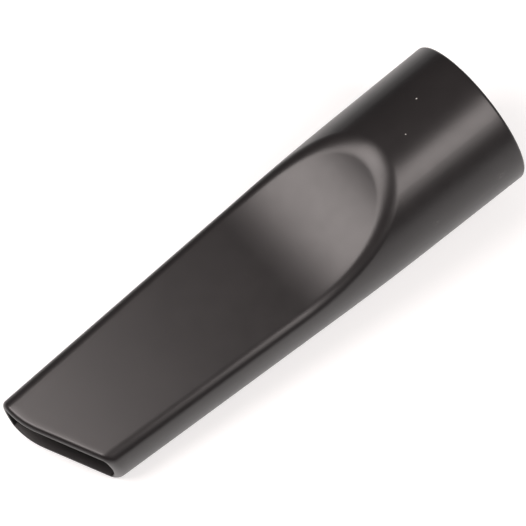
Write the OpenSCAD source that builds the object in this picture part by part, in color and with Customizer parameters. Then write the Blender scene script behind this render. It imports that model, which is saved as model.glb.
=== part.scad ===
// Crevice tool for a vacuum cleaner: one moulded shell, open from end to end.
// A round socket pushes onto the wand. Ahead of it the cone is scooped away above
// and below, and runs out to a flat nozzle whose mouth is cut on the slant.
// The shell is worked out along its own axis, with the socket's rim at x = 0 and the
// mouth at +x. It is then laid on the floor as it comes to rest, on the crest
// behind the lower scoop and along the lower lip, with the origin under its middle.

/* [Socket] */
// Outside diameter at the socket's rim
socket_d = 39; // [38.4:0.2:42]
// Bore that the wand pushes into
bore_d = 35; // [32:0.5:36]
// Depth of the bore, down to the stop
bore_depth = 26; // [16:1:27]
// Draft of the socket's outside, degrees on each side
socket_draft = 0.75; // [0.2:0.05:1.2]
// Rounding of the rim's outer edge
rim_r = 0.8; // [0.2:0.1:1]
// Lead-in bevel of the bore
lead_in = 0.6; // [0.2:0.1:0.8]

/* [Nozzle] */
// Length along the axis, rim to mouth
length = 126; // [110:1:180]
// Outside width at the mouth, measured square to the axis
mouth_w = 30; // [24:0.5:35]
// Outside thickness at the mouth
mouth_t = 13.3; // [10:0.1:16]
// Outside thickness where the flats begin
flat_t = 13.6; // [10:0.1:16]
// Where the sides begin to draw in
taper_from = 28; // [20:1:50]
// Length over which the sides bend into their taper
taper_blend = 24; // [10:1:40]

/* [Scoops] */
// Where each scoop runs out into its flat
flat_from = 64; // [62:0.5:76]
// Radius of the scoop along the axis
scoop_r = 49; // [40:0.5:52]
// Size of the soft edge round the scoops and flats
edge_r = 2.1; // [1:0.1:2.6]

/* [Mouth] */
// Slant of the mouth, degrees from square
mouth_slant = 25; // [0:1:32]
// Corner radius at the long side of the mouth, seen from above
corner_r = 5.2; // [2:0.1:7]
// Rounding of the lip's outer edge
lip_r = 0.9; // [0.3:0.1:1]
// Wall at the mouth
mouth_wall = 1.4; // [1.2:0.1:1.8]
// Wall just past the bore
throat_wall = 2.1; // [1.8:0.1:2.4]

/* [Hidden] */
$fn = 96;

// Points in a quarter of a ring: up the side, round the soft edge, across the flat
side_pts = 4;
edge_pts = 6;
flat_pts = 6;
// Most of the quarter, in degrees, that the side and then the soft edge may take
side_limit = 56;
edge_limit = 70;
// How closely the flat's points crowd towards the soft edge
flat_crowding = 1.5;

// Rings along the outside and along the duct
rim_steps = 3;
socket_steps = 2;
scoop_steps = 26;
flat_steps = 6;
lip_steps = 3;
duct_steps = 14;
// How closely the scoop's rings crowd towards its crest
crest_crowding = 1.2;

// Steepest stretch of the scoop's arc in use, as the sine of its slope
scoop_limit = 0.95;
// Steepness of the line that carries the scoop on past that stretch
scoop_rise = 3;
// Smallest soft edge inside the duct
least_r = 0.3;
// How far a cutting body runs past the face that it cuts
past = 1.5;
// Rounds in which a ring's place and the tool's lean are closed in on
rounds = 4;

scoop_from = flat_from - 0.85 * scoop_r;
slant_from = flat_from + 6;
flat_fall = (flat_t - mouth_t) / 2 / (length - flat_from);
side_fall = (socket_d / 2 - length * tan(socket_draft) - mouth_w / 2) / draw_in(length);
corner_y = corner_r - mouth_w / 2;
corner_x = length - corner_y * tan(mouth_slant) - corner_r / cos(mouth_slant);

// Length that the sides have run on their taper at x, eased in along a parabola
function draw_in(x) =
    let (u = (x - taper_from) / taper_blend)
    u <= 0 ? 0 : u < 1 ? u * u * taper_blend / 2 : (u - 0.5) * taper_blend;

// Radius of the cone that carries the sides
function half_width(x) = socket_d / 2 - x * tan(socket_draft) - side_fall * draw_in(x);

// Slope of the scoop at x, as its sine and its cosine
function scoop_sine(x) = min(max((flat_from - x) / scoop_r, 0), scoop_limit);
function scoop_cosine(x) = sqrt(1 - pow(scoop_sine(x), 2));

// Height of the scoop, and then of the flat, above the axis
function half_thick(x) =
    x > flat_from
        ? flat_t / 2 - flat_fall * (x - flat_from)
        : flat_t / 2 + scoop_r * (1 - scoop_cosine(x))
            + scoop_rise * max(flat_from - scoop_limit * scoop_r - x, 0);

// What shapes the ring at x, with its wall set in by t: the cone's radius, the
// distance from the axis to the scoop's tangent, the soft edge and the slope
function shape(x, t) =
    [half_width(x) - t, half_thick(x) * scoop_cosine(x) - t, max(edge_r - t, least_r),
     scoop_cosine(x)];

// Distance from the axis to the wall at the angle a. The cone and the scoop meet in
// a soft edge of radius r, where their depths below the two of them obey
// (r - side)^2 + (r - top)^2 = r^2.
function reach(f, a) =
    let (w = f[0], h = f[1], r = f[2], k = abs(sin(a)) * f[3],
         p = 1 + k * k, q = (r - w) + (r - h) * k,
         d = q * q - p * (pow(r - w, 2) + pow(r - h, 2) - r * r),
         m = (sqrt(max(d, 0)) - q) / p)
    d > 0 && m > w - r && m * k > h - r ? m : min(w, h / max(k, 0.001));

// Angles of a quarter ring's points, from the side to just short of the top
function quarter(f) =
    let (b = min(asin(min((f[1] - f[2]) / (f[0] * f[3]), 1)), side_limit),
         e = min(asin(min(f[1] / ((f[0] - f[2]) * f[3]), 1)), edge_limit))
    concat(
        [for (i = [0:side_pts - 1]) b * i / side_pts],
        [for (i = [0:edge_pts - 1]) b + (e - b) * i / edge_pts],
        [for (i = [0:flat_pts - 1]) e + (90 - e) * pow(i / flat_pts, flat_crowding)]
    );

// Angles of a whole ring: the quarter, mirrored about both middle planes
function ring_angles(f) =
    let (q = quarter(f), n = len(q))
    concat(
        q, [90], [for (i = [n - 1:-1:1]) 180 - q[i]],
        [for (a = q) 180 + a], [270], [for (i = [n - 1:-1:1]) 360 - q[i]]
    );

// The mouth's outline seen from above, as x over y, drawn back by b
function mouth_x(y, b) =
    let (r = corner_r - b)
    y < corner_y + r * sin(mouth_slant)
        ? corner_x + sqrt(max(r * r - pow(y - corner_y, 2), 0))
        : length - y * tan(mouth_slant) - b / cos(mouth_slant);

// A point of the ring at x. It leans into the slant of the mouth by the share s, so
// where it lies and how wide the tool is there are closed in on together.
function ring_point(x, a, t, s, b, at, n) =
    let (m = reach(shape(at, t), a))
    n > 0
        ? ring_point(x, a, t, s, b, x + s * (mouth_x(m * cos(a), b) - length), n - 1)
        : [at, m * cos(a), m * sin(a)];
function ring(x, t, s = 0, b = 0) =
    [for (a = ring_angles(shape(x, t))) ring_point(x, a, t, s, b, x, s > 0 ? rounds : 0)];
function leaning_ring(x, t) = ring(x, t, (x - slant_from) / (length - slant_from));

// Thickness of the wall along the duct
function wall(x) =
    throat_wall + (mouth_wall - throat_wall) * (x - bore_depth) / (length - bore_depth);

// Rings of the outside, from the rim to the lip
rim = [for (i = [0:rim_steps])
    let (a = 90 * i / rim_steps) ring(rim_r * (1 - cos(a)), rim_r * (1 - sin(a)))];
socket = [for (i = [1:socket_steps]) ring(rim_r + (scoop_from - rim_r) * i / socket_steps, 0)];
scoop = [for (i = [1:scoop_steps])
    ring(scoop_from + (slant_from - scoop_from) * pow(i / scoop_steps, crest_crowding), 0)];
flat = [for (i = [1:flat_steps - 1])
    leaning_ring(slant_from + (length - slant_from) * i / flat_steps, 0)];
lip = [for (i = [0:lip_steps])
    let (a = 90 * i / lip_steps) ring(length, lip_r * (1 - cos(a)), 1, lip_r * (1 - sin(a)))];
outside = concat(rim, socket, scoop, flat, lip);

// Rings of the duct, from the stop in the bore to just beyond the mouth
throat = [for (i = [0:duct_steps])
    let (x = bore_depth + (slant_from - bore_depth) * i / duct_steps) ring(x, wall(x))];
channel = [for (i = [1:flat_steps])
    let (x = slant_from + (length - slant_from) * i / flat_steps) leaning_ring(x, wall(x))];
duct = concat(throat, channel, [ring(length, mouth_wall, 1, -past)]);

// Skin over a row of rings: one flat face on the first, upright strips on the last
module skin(rings) {
    n = len(rings[0]);
    half = n / 2;
    last = (len(rings) - 1) * n;
    points = [for (r = rings) each r];
    walls = [for (k = [0:len(rings) - 2], j = [0:n - 1])
        let (a = k * n + j, b = k * n + (j + 1) % n)
        each [[a, b + n, b], [a, a + n, b + n]]];
    base = [[for (j = [0:n - 1]) j]];
    tip = [for (j = [0:half - 1])
        let (a = last + j, b = a + 1, c = last + n - j - 1, d = c + 1)
        each concat(j < half - 1 ? [[a, c, b]] : [], j > 0 ? [[a, d, c]] : [])];
    polyhedron(points = points, faces = concat(walls, base, tip), convexity = 6);
}

// The socket's bore, with its lead-in
module bore() {
    rotate([0, 90, 0]) translate([0, 0, -past]) {
        cylinder(h = bore_depth + past, d = bore_d);
        cylinder(h = lead_in + past, r1 = bore_d / 2 + lead_in + past, r2 = bore_d / 2);
    }
}

// Upward direction, seen from the tool, when it leans forward by -l. The lower lip
// is straight and lies along the slant, so it is level when the sideways part is
// l times the slant's tangent.
function upward(l) =
    let (side = l * tan(mouth_slant)) [l, side, sqrt(1 - l * l - side * side)];
function lowest(rings, up) = min([for (r = rings, p = r) up * p]);
crest = concat(rim, socket, scoop);

// The lean at which the crest and the lip are equally low
function settle(l, n) =
    let (up = upward(l), gap = lowest(lip, up) - lowest(crest, up))
    n == 0 ? l : settle(l - gap / (length - bore_depth), n - 1);

up = upward(settle(0, rounds + 2));
roll = atan2(up[1], up[2]);
pitch = -asin(up[0]);
// The floor's own two directions, seen from the tool
ahead = [cos(pitch), sin(pitch) * sin(roll), sin(pitch) * cos(roll)];
across = [0, cos(roll), -sin(roll)];
function middle(way) =
    let (d = [for (r = outside, p = r) way * p]) (min(d) + max(d)) / 2;

module crevice_tool() {
    color("#2b2829")
        translate([-middle(ahead), -middle(across), -lowest(outside, up)])
            rotate([roll, pitch, 0])
                difference() {
                    skin(outside);
                    skin(duct);
                    bore();
                }
}

crevice_tool();
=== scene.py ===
"""Looks of a vacuum cleaner's crevice tool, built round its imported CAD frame.

The tool is one moulded shell of satin black plastic. The mesh here follows the same
rules as the CAD solid, with finer curves. Shape values are in millimetres, measured in
the tool's own frame: x runs from the socket's rim to the mouth, y across, z out of the
upper flat. The shell is then laid on the floor as the CAD solid lies.
"""

import math

import bpy
import numpy as np
from mathutils import Matrix, Vector


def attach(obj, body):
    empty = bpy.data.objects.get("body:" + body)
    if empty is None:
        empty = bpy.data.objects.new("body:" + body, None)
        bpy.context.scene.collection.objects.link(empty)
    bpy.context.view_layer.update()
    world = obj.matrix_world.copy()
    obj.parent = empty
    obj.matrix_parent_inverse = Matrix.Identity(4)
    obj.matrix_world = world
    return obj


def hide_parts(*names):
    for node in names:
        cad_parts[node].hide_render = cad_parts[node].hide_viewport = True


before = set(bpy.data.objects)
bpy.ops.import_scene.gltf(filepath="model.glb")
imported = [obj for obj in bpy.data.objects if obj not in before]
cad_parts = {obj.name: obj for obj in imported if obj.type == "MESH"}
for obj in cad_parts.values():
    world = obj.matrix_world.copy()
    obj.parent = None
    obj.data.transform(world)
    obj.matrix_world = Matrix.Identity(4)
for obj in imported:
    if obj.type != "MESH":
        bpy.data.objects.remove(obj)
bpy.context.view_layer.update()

# Socket
SOCKET_D = 39.0
BORE_D = 35.0
BORE_DEPTH = 26.0
SOCKET_DRAFT = math.radians(0.75)
RIM_R = 0.8
LEAD_IN = 0.6

# Nozzle and scoops
LENGTH = 127.0
MOUTH_W = 30.2
MOUTH_T = 14.1
FLAT_T = 14.1
TAPER_FROM = 28.8
TAPER_BLEND = 26.0
FLAT_FROM = 64.0
SCOOP_R = 55.0
SCOOP_LIMIT = 0.95
SCOOP_RISE = 3.0
EDGE_R = 1.9
LEAST_R = 0.3
SCOOP_REACH = 0.85
CREST_RUN = 20.0
SLANT_GAP = 6.0

# Mouth: a straight slant that bends into a wide nose at its long side
MOUTH_SLANT = math.radians(25.5)
NOSE_R = 21.5
NOSE_Y = -12.3
LIP_R = 1.3
INNER_LIP_R = 0.2
MOUTH_WALL = 1.5
THROAT_WALL = 2.1

# Points in a quarter of a ring, and rings along each stretch
SIDE_POINTS = 10
EDGE_POINTS = 14
FLAT_POINTS = 14
FLAT_CROWDING = 1.3
SIDE_LIMIT = math.radians(56.0)
EDGE_LIMIT = math.radians(70.0)
RIM_STEPS = 6
SOCKET_STEPS = 10
CREST_STEPS = 70
SCOOP_STEPS = 40
NOZZLE_STEPS = 24
LIP_STEPS = 8
INNER_LIP_STEPS = 3
DUCT_STEPS = 40
BORE_STEPS = 8
ROUNDS = 6
SHARP_ANGLE = math.radians(35.0)

# The view: how the tool's frame is tipped towards the camera and turned in the picture,
# and where the rim's centre is, in pixels of a picture 526 pixels wide
PICTURE = 526.0
SENSOR = 36.0
VIEW_LEAN = math.radians(9.81)
VIEW_ROLL = math.radians(20.0)
VIEW_TURN = math.radians(141.41)
RIM_AT = (474.95, 109.13)
CAMERA_PX = 2857.0
MM_PER_PX = 0.2339
CLIP_NEAR = 0.05
CLIP_FAR = 60.0

# Studio: each panel's direction along the camera's right, up and back, its distance
# and side in metres, and its radiance
PANELS = {
    "left_panel": ((-0.600, 0.267, 0.755), 0.343, 0.211, 8.60),
    "right_panel": ((0.553, 0.125, 0.824), 0.374, 0.205, 7.30),
    "top_panel": ((0.0, 0.698, 0.716), 0.470, 0.900, 0.17),
}
PANEL_COLOUR = (1.0, 0.915, 0.895)
ROOM_COLOUR = (0.085, 0.085, 0.085, 1)
FLOOR_HALF = 20.0
FLOOR_COLOUR = (0.62, 0.62, 0.62, 1)
FLOOR_GLOW = 0.5
FLOOR_GLOW_COLOUR = (1, 1, 1, 1)
FLOOR_ROUGHNESS = 0.9
FLOOR_SHINE = 0.1

# Plastic: colours, the size of its noises, and how rough and how grained it is
DARKER_BLACK = (0.0075, 0.0062, 0.0064, 1)
LIGHTER_BLACK = (0.0105, 0.0088, 0.0090, 1)
SCUFF_COLOUR = (0.16, 0.15, 0.15, 1)
DUST_COLOUR = (0.55, 0.54, 0.52, 1)
PLASTIC_IOR = 1.5
GRAIN_SCALE = 2400
CLOUD_SCALE = 60
PATCH_SCALE = 250
SCRATCH_SCALE = 1500
NOISE_LOW = 0.3
NOISE_HIGH = 0.7
SCRATCH_LOW = 0.45
SCRATCH_STRENGTH = 0.3
SMOOTHER = 0.335
ROUGHER = 0.365
SPOT_DULLNESS = 0.2
GRAIN_STRENGTH = 0.2
GRAIN_DEPTH = 0.00002
DUST_SOFTNESS = 0.4
SCUFF_SOFTNESS = 0.8
SPOT_SOFTNESS = 0.5

# Small marks on the surface: x in mm, angle round the axis in degrees, radius in mm
DUST = [((12.7, 102.5), 0.16), ((20.5, 86.5), 0.12)]
SCUFFS = [((6.8, 15.0), 0.9), ((26.2, 18.8), 0.7)]
DULL_SPOTS = [((86.4, 122.1), 0.3), ((90.7, 106.1), 0.3)]

SCOOP_FROM = FLAT_FROM - SCOOP_REACH * SCOOP_R
CREST_TO = SCOOP_FROM + CREST_RUN
SLANT_FROM = FLAT_FROM + SLANT_GAP
FLAT_FALL = (FLAT_T - MOUTH_T) / 2 / (LENGTH - FLAT_FROM)
NOSE_X = LENGTH - NOSE_Y * math.tan(MOUTH_SLANT) - NOSE_R / math.cos(MOUTH_SLANT)


def draw_in(x):
    """Length that the sides have run on their taper at x."""
    u = (x - TAPER_FROM) / TAPER_BLEND
    return TAPER_BLEND * (np.clip(u, 0, 1) ** 2 / 2 + np.maximum(u - 1, 0))


SIDE_FALL = (SOCKET_D / 2 - LENGTH * math.tan(SOCKET_DRAFT) - MOUTH_W / 2) / draw_in(LENGTH)


def half_width(x):
    """Radius of the cone that carries the sides."""
    return SOCKET_D / 2 - x * math.tan(SOCKET_DRAFT) - SIDE_FALL * draw_in(x)


def scoop_cosine(x):
    """Cosine of the scoop's slope at x."""
    sine = np.clip((FLAT_FROM - x) / SCOOP_R, 0, SCOOP_LIMIT)
    return np.sqrt(1 - sine**2)


def half_thick(x):
    """Height of the scoop, and then of the flat, above the axis."""
    past = np.maximum(FLAT_FROM - SCOOP_LIMIT * SCOOP_R - x, 0)
    scoop = FLAT_T / 2 + SCOOP_R * (1 - scoop_cosine(x)) + SCOOP_RISE * past
    return np.where(x > FLAT_FROM, FLAT_T / 2 - FLAT_FALL * (x - FLAT_FROM), scoop)


def reach(x, angle, inset):
    """Distance from the axis to the wall: the cone and the scoop's tangent plane, joined
    by a soft edge."""
    cosine = scoop_cosine(x)
    side = half_width(x) - inset
    top = half_thick(x) * cosine - inset
    r = np.maximum(EDGE_R - inset, LEAST_R)
    k = np.abs(np.sin(angle)) * cosine
    p = 1 + k * k
    q = (r - side) + (r - top) * k
    d = q * q - p * ((r - side) ** 2 + (r - top) ** 2 - r * r)
    soft = (np.sqrt(np.maximum(d, 0)) - q) / p
    hard = np.minimum(side, top / np.maximum(k, 0.001))
    return np.where((d > 0) & (soft > side - r) & (soft * k > top - r), soft, hard)


def ring_angles(x, inset):
    """Angles of a ring's points: a quarter, mirrored about both middle planes."""
    cosine = float(scoop_cosine(x))
    side = float(half_width(x)) - inset
    top = float(half_thick(x)) * cosine - inset
    r = max(EDGE_R - inset, LEAST_R)
    begin = min(math.asin(min((top - r) / (side * cosine), 1)), SIDE_LIMIT)
    end = min(math.asin(min(top / ((side - r) * cosine), 1)), EDGE_LIMIT)
    crowded = (np.arange(FLAT_POINTS) / FLAT_POINTS) ** FLAT_CROWDING
    quarter = np.concatenate(
        [
            begin * np.arange(SIDE_POINTS) / SIDE_POINTS,
            begin + (end - begin) * np.arange(EDGE_POINTS) / EDGE_POINTS,
            end + (math.pi / 2 - end) * crowded,
        ]
    )
    half = np.concatenate([quarter, [math.pi / 2], math.pi - quarter[:0:-1]])
    return np.concatenate([half, half + math.pi])


def mouth_x(y, drawn_back):
    """The mouth's outline seen from above, as x over y."""
    r = NOSE_R - drawn_back
    nose = NOSE_X + np.sqrt(np.maximum(r * r - (y - NOSE_Y) ** 2, 0))
    straight = LENGTH - y * math.tan(MOUTH_SLANT) - drawn_back / math.cos(MOUTH_SLANT)
    return np.where(y < NOSE_Y + r * math.sin(MOUTH_SLANT), nose, straight)


def ring(x, inset, lean=0.0, drawn_back=0.0):
    """Points of the ring at x. It leans into the slant of the mouth by the share lean."""
    angle = ring_angles(x, inset)
    at = np.full(len(angle), float(x))
    for _ in range(ROUNDS if lean > 0 else 0):
        y = reach(at, angle, inset) * np.cos(angle)
        at = x + lean * (mouth_x(y, drawn_back) - LENGTH)
    m = reach(at, angle, inset)
    return np.stack([at, m * np.cos(angle), m * np.sin(angle)], axis=1)


def leaning_ring(x, inset):
    return ring(x, inset, lean=(x - SLANT_FROM) / (LENGTH - SLANT_FROM))


def circle(x, radius, angle):
    """A true circle across the axis, for the bore."""
    at = np.full(len(angle), x)
    return np.stack([at, radius * np.cos(angle), radius * np.sin(angle)], axis=1)


def wall(x):
    """Thickness of the wall along the duct."""
    share = (x - BORE_DEPTH) / (LENGTH - BORE_DEPTH)
    return THROAT_WALL + (MOUTH_WALL - THROAT_WALL) * share


def quarter_round(steps):
    """(sine, cosine) from 0 to 90 degrees."""
    return [(math.sin(a), math.cos(a)) for a in np.linspace(0, math.pi / 2, steps + 1)]


def stretch(start, end, steps):
    """Places after start, up to and with end."""
    return np.linspace(start, end, steps + 1)[1:]


def lip_rings():
    return [ring(LENGTH, LIP_R * (1 - c), 1, LIP_R * (1 - s)) for s, c in quarter_round(LIP_STEPS)]


def outside_rings():
    rim = [ring(RIM_R * (1 - c), RIM_R * (1 - s)) for s, c in quarter_round(RIM_STEPS)]
    socket = [ring(x, 0) for x in stretch(RIM_R, SCOOP_FROM, SOCKET_STEPS)]
    crest = [ring(x, 0) for x in stretch(SCOOP_FROM, CREST_TO, CREST_STEPS)]
    scoop = [ring(x, 0) for x in stretch(CREST_TO, SLANT_FROM, SCOOP_STEPS)]
    nozzle = [leaning_ring(x, 0) for x in stretch(SLANT_FROM, LENGTH, NOZZLE_STEPS)[:-1]]
    return rim + socket + crest + scoop + nozzle + lip_rings()


def inside_rings():
    """From the mouth back along the duct, over the stop, and out along the bore."""
    edge = [
        ring(LENGTH, MOUTH_WALL - INNER_LIP_R * c, 1, INNER_LIP_R * s)
        for s, c in quarter_round(INNER_LIP_STEPS)
    ]
    channel = [leaning_ring(x, wall(x)) for x in stretch(LENGTH, SLANT_FROM, NOZZLE_STEPS)]
    throat = [ring(x, wall(x)) for x in stretch(SLANT_FROM, BORE_DEPTH, DUCT_STEPS)]
    inner = ring_angles(BORE_DEPTH, THROAT_WALL)
    outer = ring_angles(0.0, RIM_R)
    bore = [
        circle(BORE_DEPTH + (LEAD_IN - BORE_DEPTH) * s, BORE_D / 2, inner + (outer - inner) * s)
        for s in np.linspace(0, 1, BORE_STEPS + 1)
    ]
    lead_in = [circle(0.0, BORE_D / 2 + LEAD_IN, outer)]
    return edge + channel + throat + bore + lead_in


def upward(lean):
    """The floor's upward direction in the tool's frame when the tool leans by lean. The
    lower lip is straight and lies along the slant, so it stays level."""
    side = lean * math.tan(MOUTH_SLANT)
    return np.array([lean, side, math.sqrt(1 - lean * lean - side * side)])


def resting(points, lip):
    """(rotation, shift in mm) that lays the tool on its crest and its lower lip."""
    crest = points[points[:, 0] < SLANT_FROM]
    lean = 0.0
    for _ in range(2 * ROUNDS):
        up = upward(lean)
        gap = (lip @ up).min() - (crest @ up).min()
        lean -= gap / (LENGTH - BORE_DEPTH)
    up = upward(lean)
    roll = math.atan2(up[1], up[2])
    pitch = -math.asin(up[0])
    ahead = np.array(
        [math.cos(pitch), math.sin(pitch) * math.sin(roll), math.sin(pitch) * math.cos(roll)]
    )
    across = np.array([0.0, math.cos(roll), -math.sin(roll)])
    turn = np.stack([ahead, across, up])
    turned = points @ turn.T
    low, high = turned.min(axis=0), turned.max(axis=0)
    return turn, np.array([-(low[0] + high[0]) / 2, -(low[1] + high[1]) / 2, -low[2]])


rings = outside_rings() + inside_rings()
tool_points = np.concatenate(rings)
TURN, SHIFT = resting(tool_points, np.concatenate(lip_rings()))


def placed(points):
    """Points of the tool's frame, in mm, as places in the room, in metres."""
    return (np.asarray(points) @ TURN.T + SHIFT) / 1000


def on_surface(x, degrees):
    """The place in the room of a point on the outside of the tool."""
    angle = math.radians(degrees)
    m = float(reach(x, angle, 0))
    return placed([x, m * math.cos(angle), m * math.sin(angle)]).tolist()


def build_shell():
    """One closed skin through all the rings, outside and inside."""
    count = len(rings[0])
    total = len(rings)
    faces = []
    for i in range(total):
        a = i * count
        b = (i + 1) % total * count
        for j in range(count):
            k = (j + 1) % count
            faces.append((a + j, a + k, b + k, b + j))
    mesh = bpy.data.meshes.new("moulded_shell")
    mesh.from_pydata(placed(tool_points).tolist(), [], faces)
    mesh.validate()
    mesh.update()
    mesh.shade_smooth()
    mesh.set_sharp_from_angle(angle=SHARP_ANGLE)
    shell = bpy.data.objects.new("moulded_shell", mesh)
    bpy.context.collection.objects.link(shell)
    return shell


def plastic():
    """Satin black moulded plastic: a fine grain, faint clouds, dust and small scuffs."""
    material = bpy.data.materials.new("satin_black_plastic")
    material.use_nodes = True
    nodes, links = material.node_tree.nodes, material.node_tree.links
    shader = nodes["Principled BSDF"]
    shader.inputs["IOR"].default_value = PLASTIC_IOR
    place = nodes.new("ShaderNodeTexCoord").outputs["Object"]

    def noise(scale, detail):
        n = nodes.new("ShaderNodeTexNoise")
        n.inputs["Scale"].default_value = scale
        n.inputs["Detail"].default_value = detail
        links.new(place, n.inputs["Vector"])
        return n.outputs["Fac"]

    def ranged(value, start, end, low, high):
        m = nodes.new("ShaderNodeMapRange")
        m.inputs["From Min"].default_value = start
        m.inputs["From Max"].default_value = end
        m.inputs["To Min"].default_value = low
        m.inputs["To Max"].default_value = high
        links.new(value, m.inputs["Value"])
        return m.outputs["Result"]

    def combined(operation, a, b):
        m = nodes.new("ShaderNodeMath")
        m.operation = operation
        links.new(a, m.inputs[0])
        links.new(b, m.inputs[1])
        return m.outputs["Value"]

    def marks(spots, softness):
        """1 on the spots, fading to 0 outside them."""
        total = None
        for (x, degrees), radius in spots:
            gap = nodes.new("ShaderNodeVectorMath")
            gap.operation = "DISTANCE"
            gap.inputs[1].default_value = on_surface(x, degrees)
            links.new(place, gap.inputs[0])
            r = radius / 1000
            spot = ranged(gap.outputs["Value"], r * (1 + softness), r * (1 - softness), 0, 1)
            total = spot if total is None else combined("MAXIMUM", total, spot)
        return total

    def mixed(factor, a, b):
        m = nodes.new("ShaderNodeMix")
        m.data_type = "RGBA"
        links.new(factor, m.inputs["Factor"])
        for side, colour in (("A", a), ("B", b)):
            if isinstance(colour, tuple):
                m.inputs[side].default_value = colour
            else:
                links.new(colour, m.inputs[side])
        return m.outputs["Result"]

    clouds = ranged(noise(CLOUD_SCALE, 3), NOISE_LOW, NOISE_HIGH, 0, 1)
    colour = mixed(clouds, DARKER_BLACK, LIGHTER_BLACK)
    scratches = ranged(noise(SCRATCH_SCALE, 3), SCRATCH_LOW, NOISE_HIGH, 0, SCRATCH_STRENGTH)
    scuffed = combined("MULTIPLY", marks(SCUFFS, SCUFF_SOFTNESS), scratches)
    colour = mixed(scuffed, colour, SCUFF_COLOUR)
    colour = mixed(marks(DUST, DUST_SOFTNESS), colour, DUST_COLOUR)
    links.new(colour, shader.inputs["Base Color"])
    patchy = ranged(noise(PATCH_SCALE, 4), NOISE_LOW, NOISE_HIGH, SMOOTHER, ROUGHER)
    dulled = ranged(marks(DULL_SPOTS, SPOT_SOFTNESS), 0, 1, 0, SPOT_DULLNESS)
    links.new(combined("ADD", patchy, dulled), shader.inputs["Roughness"])
    bump = nodes.new("ShaderNodeBump")
    bump.inputs["Strength"].default_value = GRAIN_STRENGTH
    bump.inputs["Distance"].default_value = GRAIN_DEPTH
    links.new(noise(GRAIN_SCALE, 2), bump.inputs["Height"])
    links.new(bump.outputs["Normal"], shader.inputs["Normal"])
    return material


def view_axes():
    """The camera's right, up and backward directions, in the tool's frame."""
    lean_s, lean_c = math.sin(VIEW_LEAN), math.cos(VIEW_LEAN)
    roll_s, roll_c = math.sin(VIEW_ROLL), math.cos(VIEW_ROLL)
    back = np.array([lean_s, roll_s * lean_c, roll_c * lean_c])
    along = np.array([lean_c, -lean_s * roll_s, -lean_s * roll_c])
    across = np.array([0.0, roll_c, -roll_s])
    right = along * math.cos(VIEW_TURN) + across * math.sin(VIEW_TURN)
    up = -along * math.sin(VIEW_TURN) + across * math.cos(VIEW_TURN)
    return right, up, back


def add_camera():
    """The camera, placed from the rim's centre in the picture."""
    right, up, back = view_axes()
    off_x = RIM_AT[0] - PICTURE / 2
    off_y = RIM_AT[1] - PICTURE / 2
    middle = back[0] * LENGTH / 2 / MM_PER_PX
    at = (-off_x * right + off_y * up + (CAMERA_PX + middle) * back) * MM_PER_PX
    data = bpy.data.cameras.new("camera")
    data.sensor_width = SENSOR
    data.lens = CAMERA_PX * SENSOR / PICTURE
    data.clip_start = CLIP_NEAR
    data.clip_end = CLIP_FAR
    camera = bpy.data.objects.new("camera", data)
    bpy.context.collection.objects.link(camera)
    axes = np.stack([TURN @ right, TURN @ up, TURN @ back], axis=1)
    matrix = Matrix(axes.tolist()).to_4x4()
    matrix.translation = Vector(placed(at).tolist())
    camera.matrix_world = matrix
    bpy.context.scene.camera = camera


def add_panel(name, towards, distance, side, radiance):
    """A square soft light that faces the middle of the tool."""
    axes = np.stack([TURN @ a for a in view_axes()], axis=1)
    direction = Vector((axes @ np.array(towards)).tolist()).normalized()
    data = bpy.data.lights.new(name, "AREA")
    data.shape = "SQUARE"
    data.size = side
    data.energy = radiance * math.pi * side * side
    data.color = PANEL_COLOUR
    lamp = bpy.data.objects.new(name, data)
    bpy.context.collection.objects.link(lamp)
    lamp.location = Vector(placed([LENGTH / 2, 0, 0]).tolist()) + direction * distance
    lamp.rotation_mode = "QUATERNION"
    lamp.rotation_quaternion = direction.to_track_quat("Z", "Y")


def add_floor():
    """A plain pale floor that runs out of sight."""
    h = FLOOR_HALF
    mesh = bpy.data.meshes.new("floor")
    corners = [(-h, -h, 0), (h, -h, 0), (h, h, 0), (-h, h, 0)]
    mesh.from_pydata(corners, [], [(0, 1, 2, 3)])
    floor = bpy.data.objects.new("floor", mesh)
    bpy.context.collection.objects.link(floor)
    material = bpy.data.materials.new("pale_floor")
    material.use_nodes = True
    shader = material.node_tree.nodes["Principled BSDF"]
    shader.inputs["Base Color"].default_value = FLOOR_COLOUR
    shader.inputs["Roughness"].default_value = FLOOR_ROUGHNESS
    shader.inputs["Specular IOR Level"].default_value = FLOOR_SHINE
    shader.inputs["Emission Color"].default_value = FLOOR_GLOW_COLOUR
    shader.inputs["Emission Strength"].default_value = FLOOR_GLOW
    mesh.materials.append(material)


def add_room():
    """A dim room round the panels."""
    world = bpy.data.worlds.new("room")
    world.use_nodes = True
    world.node_tree.nodes["Background"].inputs["Color"].default_value = ROOM_COLOUR
    bpy.context.scene.world = world
    bpy.context.scene.view_settings.view_transform = "Standard"


shell = build_shell()
shell.data.materials.append(plastic())
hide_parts("crevice_tool")
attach(shell, "root")

add_camera()
for panel_name, panel in PANELS.items():
    add_panel(panel_name, *panel)
add_floor()
add_room()
